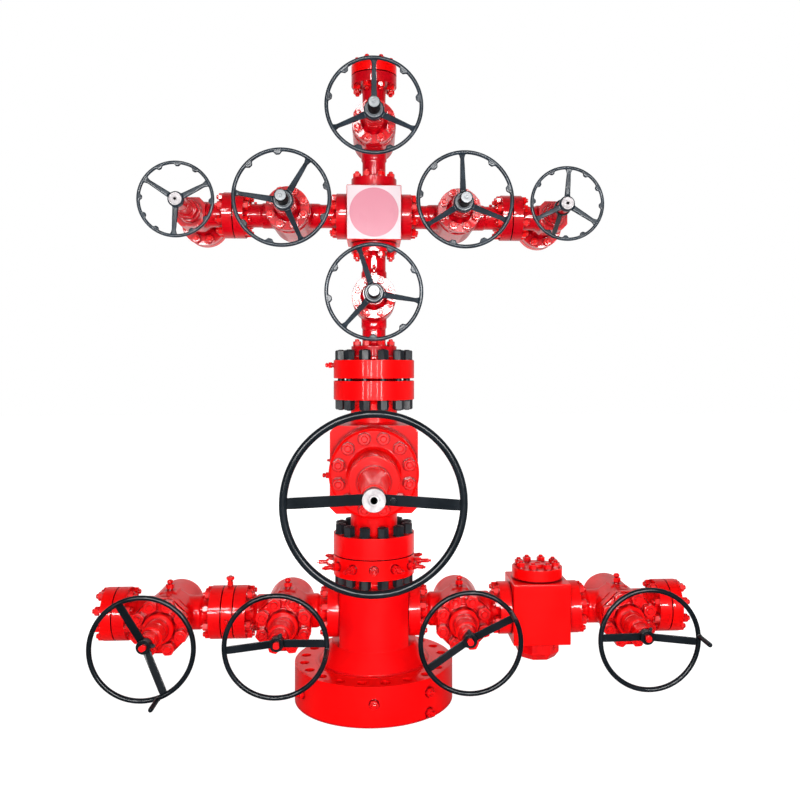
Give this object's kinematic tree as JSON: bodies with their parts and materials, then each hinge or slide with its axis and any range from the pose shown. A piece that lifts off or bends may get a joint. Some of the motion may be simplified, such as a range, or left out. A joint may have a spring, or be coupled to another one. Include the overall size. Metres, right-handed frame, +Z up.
{
  "type": "oil wellhead valve stack",
  "caption": "Oil wellhead valve stack: flanged tubing head, master valve, cross with wing valves and chokes, lower arms with a check valve, and hand wheels that turn.",
  "frame": {"origin": "centre of the base flange's lower face", "axes": "+Z up along the upright's bore, -Y the front that the hand wheels face, +X towards the arm with the check valve"},
  "size_m": [3.4, 1.921, 3.765],
  "materials": {
    "red_paint": "gloss",
    "black_paint": "gloss",
    "grey_cast": "satin"
  },
  "bodies": {
    "tree": {"head_base_flange": "red_paint", "tubing_head": "red_paint", "head_top_flange": "red_paint", "lockdown_screws": "red_paint", "base_ports": "red_paint", "master_valve_body": "red_paint", "master_bonnet": "red_paint", "master_bearing_housing": "red_paint", "tubing_adapter": "red_paint", "cross_block": "red_paint", "tree_cap": "red_paint", "upper_master_valve_body": "red_paint", "upper_master_bonnet": "red_paint", "swab_valve_body": "red_paint", "swab_bonnet": "red_paint", "left_wing_valve_body": "red_paint", "left_wing_bonnet": "red_paint", "right_wing_valve_body": "red_paint", "right_wing_bonnet": "red_paint", "left_choke_body": "red_paint", "left_choke_bonnet": "red_paint", "right_choke_body": "red_paint", "right_choke_bonnet": "red_paint", "choke_outlet_flanges": "red_paint", "left_inner_valve_body": "red_paint", "left_inner_bonnet": "red_paint", "left_outer_valve_body": "red_paint", "left_outer_bonnet": "red_paint", "right_inner_valve_body": "red_paint", "right_inner_bonnet": "red_paint", "right_outer_valve_body": "red_paint", "right_outer_bonnet": "red_paint", "left_end_flange": "red_paint", "right_end_flange": "red_paint", "arm_spacer": "red_paint", "check_valve_block": "red_paint", "check_valve_cap": "red_paint", "valve_fittings": "red_paint", "choke_lock_bar": "black_paint"},
    "upper_master_wheel": {"upper_master_wheel": "grey_cast"},
    "swab_wheel": {"swab_wheel": "grey_cast"},
    "left_wing_wheel": {"left_wing_wheel": "grey_cast"},
    "right_wing_wheel": {"right_wing_wheel": "grey_cast"},
    "left_choke_wheel": {"left_choke_wheel": "grey_cast"},
    "right_choke_wheel": {"right_choke_wheel": "grey_cast"},
    "left_inner_wheel": {"left_inner_wheel": "black_paint"},
    "left_outer_wheel": {"left_outer_wheel": "black_paint"},
    "right_inner_wheel": {"right_inner_wheel": "black_paint"},
    "right_outer_wheel": {"right_outer_wheel": "black_paint"},
    "master_wheel": {"master_wheel": "black_paint"}
  },
  "joints": [
    {"name": "upper_master_wheel_turn", "type": "hinge", "parent": "tree", "child": "upper_master_wheel", "pos_m": [0, -0.468, 2.362], "axis": [0, -1, 0], "continuous": true},
    {"name": "swab_wheel_turn", "type": "hinge", "parent": "tree", "child": "swab_wheel", "pos_m": [0, -0.468, 3.356], "axis": [0, -1, 0], "continuous": true},
    {"name": "left_wing_wheel_turn", "type": "hinge", "parent": "tree", "child": "left_wing_wheel", "pos_m": [-0.489, -0.468, 2.859], "axis": [0, -1, 0], "continuous": true},
    {"name": "right_wing_wheel_turn", "type": "hinge", "parent": "tree", "child": "right_wing_wheel", "pos_m": [0.489, -0.468, 2.859], "axis": [0, -1, 0], "continuous": true},
    {"name": "left_choke_wheel_turn", "type": "hinge", "parent": "tree", "child": "left_choke_wheel", "pos_m": [-1.06, -0.46, 2.859], "axis": [0, -1, 0], "continuous": true},
    {"name": "right_choke_wheel_turn", "type": "hinge", "parent": "tree", "child": "right_choke_wheel", "pos_m": [1.06, -0.46, 2.859], "axis": [0, -1, 0], "continuous": true},
    {"name": "left_inner_wheel_turn", "type": "hinge", "parent": "tree", "child": "left_inner_wheel", "pos_m": [-0.5075, -0.599, 0.513], "axis": [0, -1, 0], "continuous": true},
    {"name": "left_outer_wheel_turn", "type": "hinge", "parent": "tree", "child": "left_outer_wheel", "pos_m": [-1.1905, -0.599, 0.513], "axis": [0, -1, 0], "continuous": true},
    {"name": "right_inner_wheel_turn", "type": "hinge", "parent": "tree", "child": "right_inner_wheel", "pos_m": [0.5075, -0.599, 0.513], "axis": [0, -1, 0], "continuous": true},
    {"name": "right_outer_wheel_turn", "type": "hinge", "parent": "tree", "child": "right_outer_wheel", "pos_m": [1.4605, -0.599, 0.513], "axis": [0, -1, 0], "continuous": true},
    {"name": "master_wheel_turn", "type": "hinge", "parent": "tree", "child": "master_wheel", "pos_m": [0, -1.305, 1.372], "axis": [0, -1, 0], "continuous": true}
  ]
}
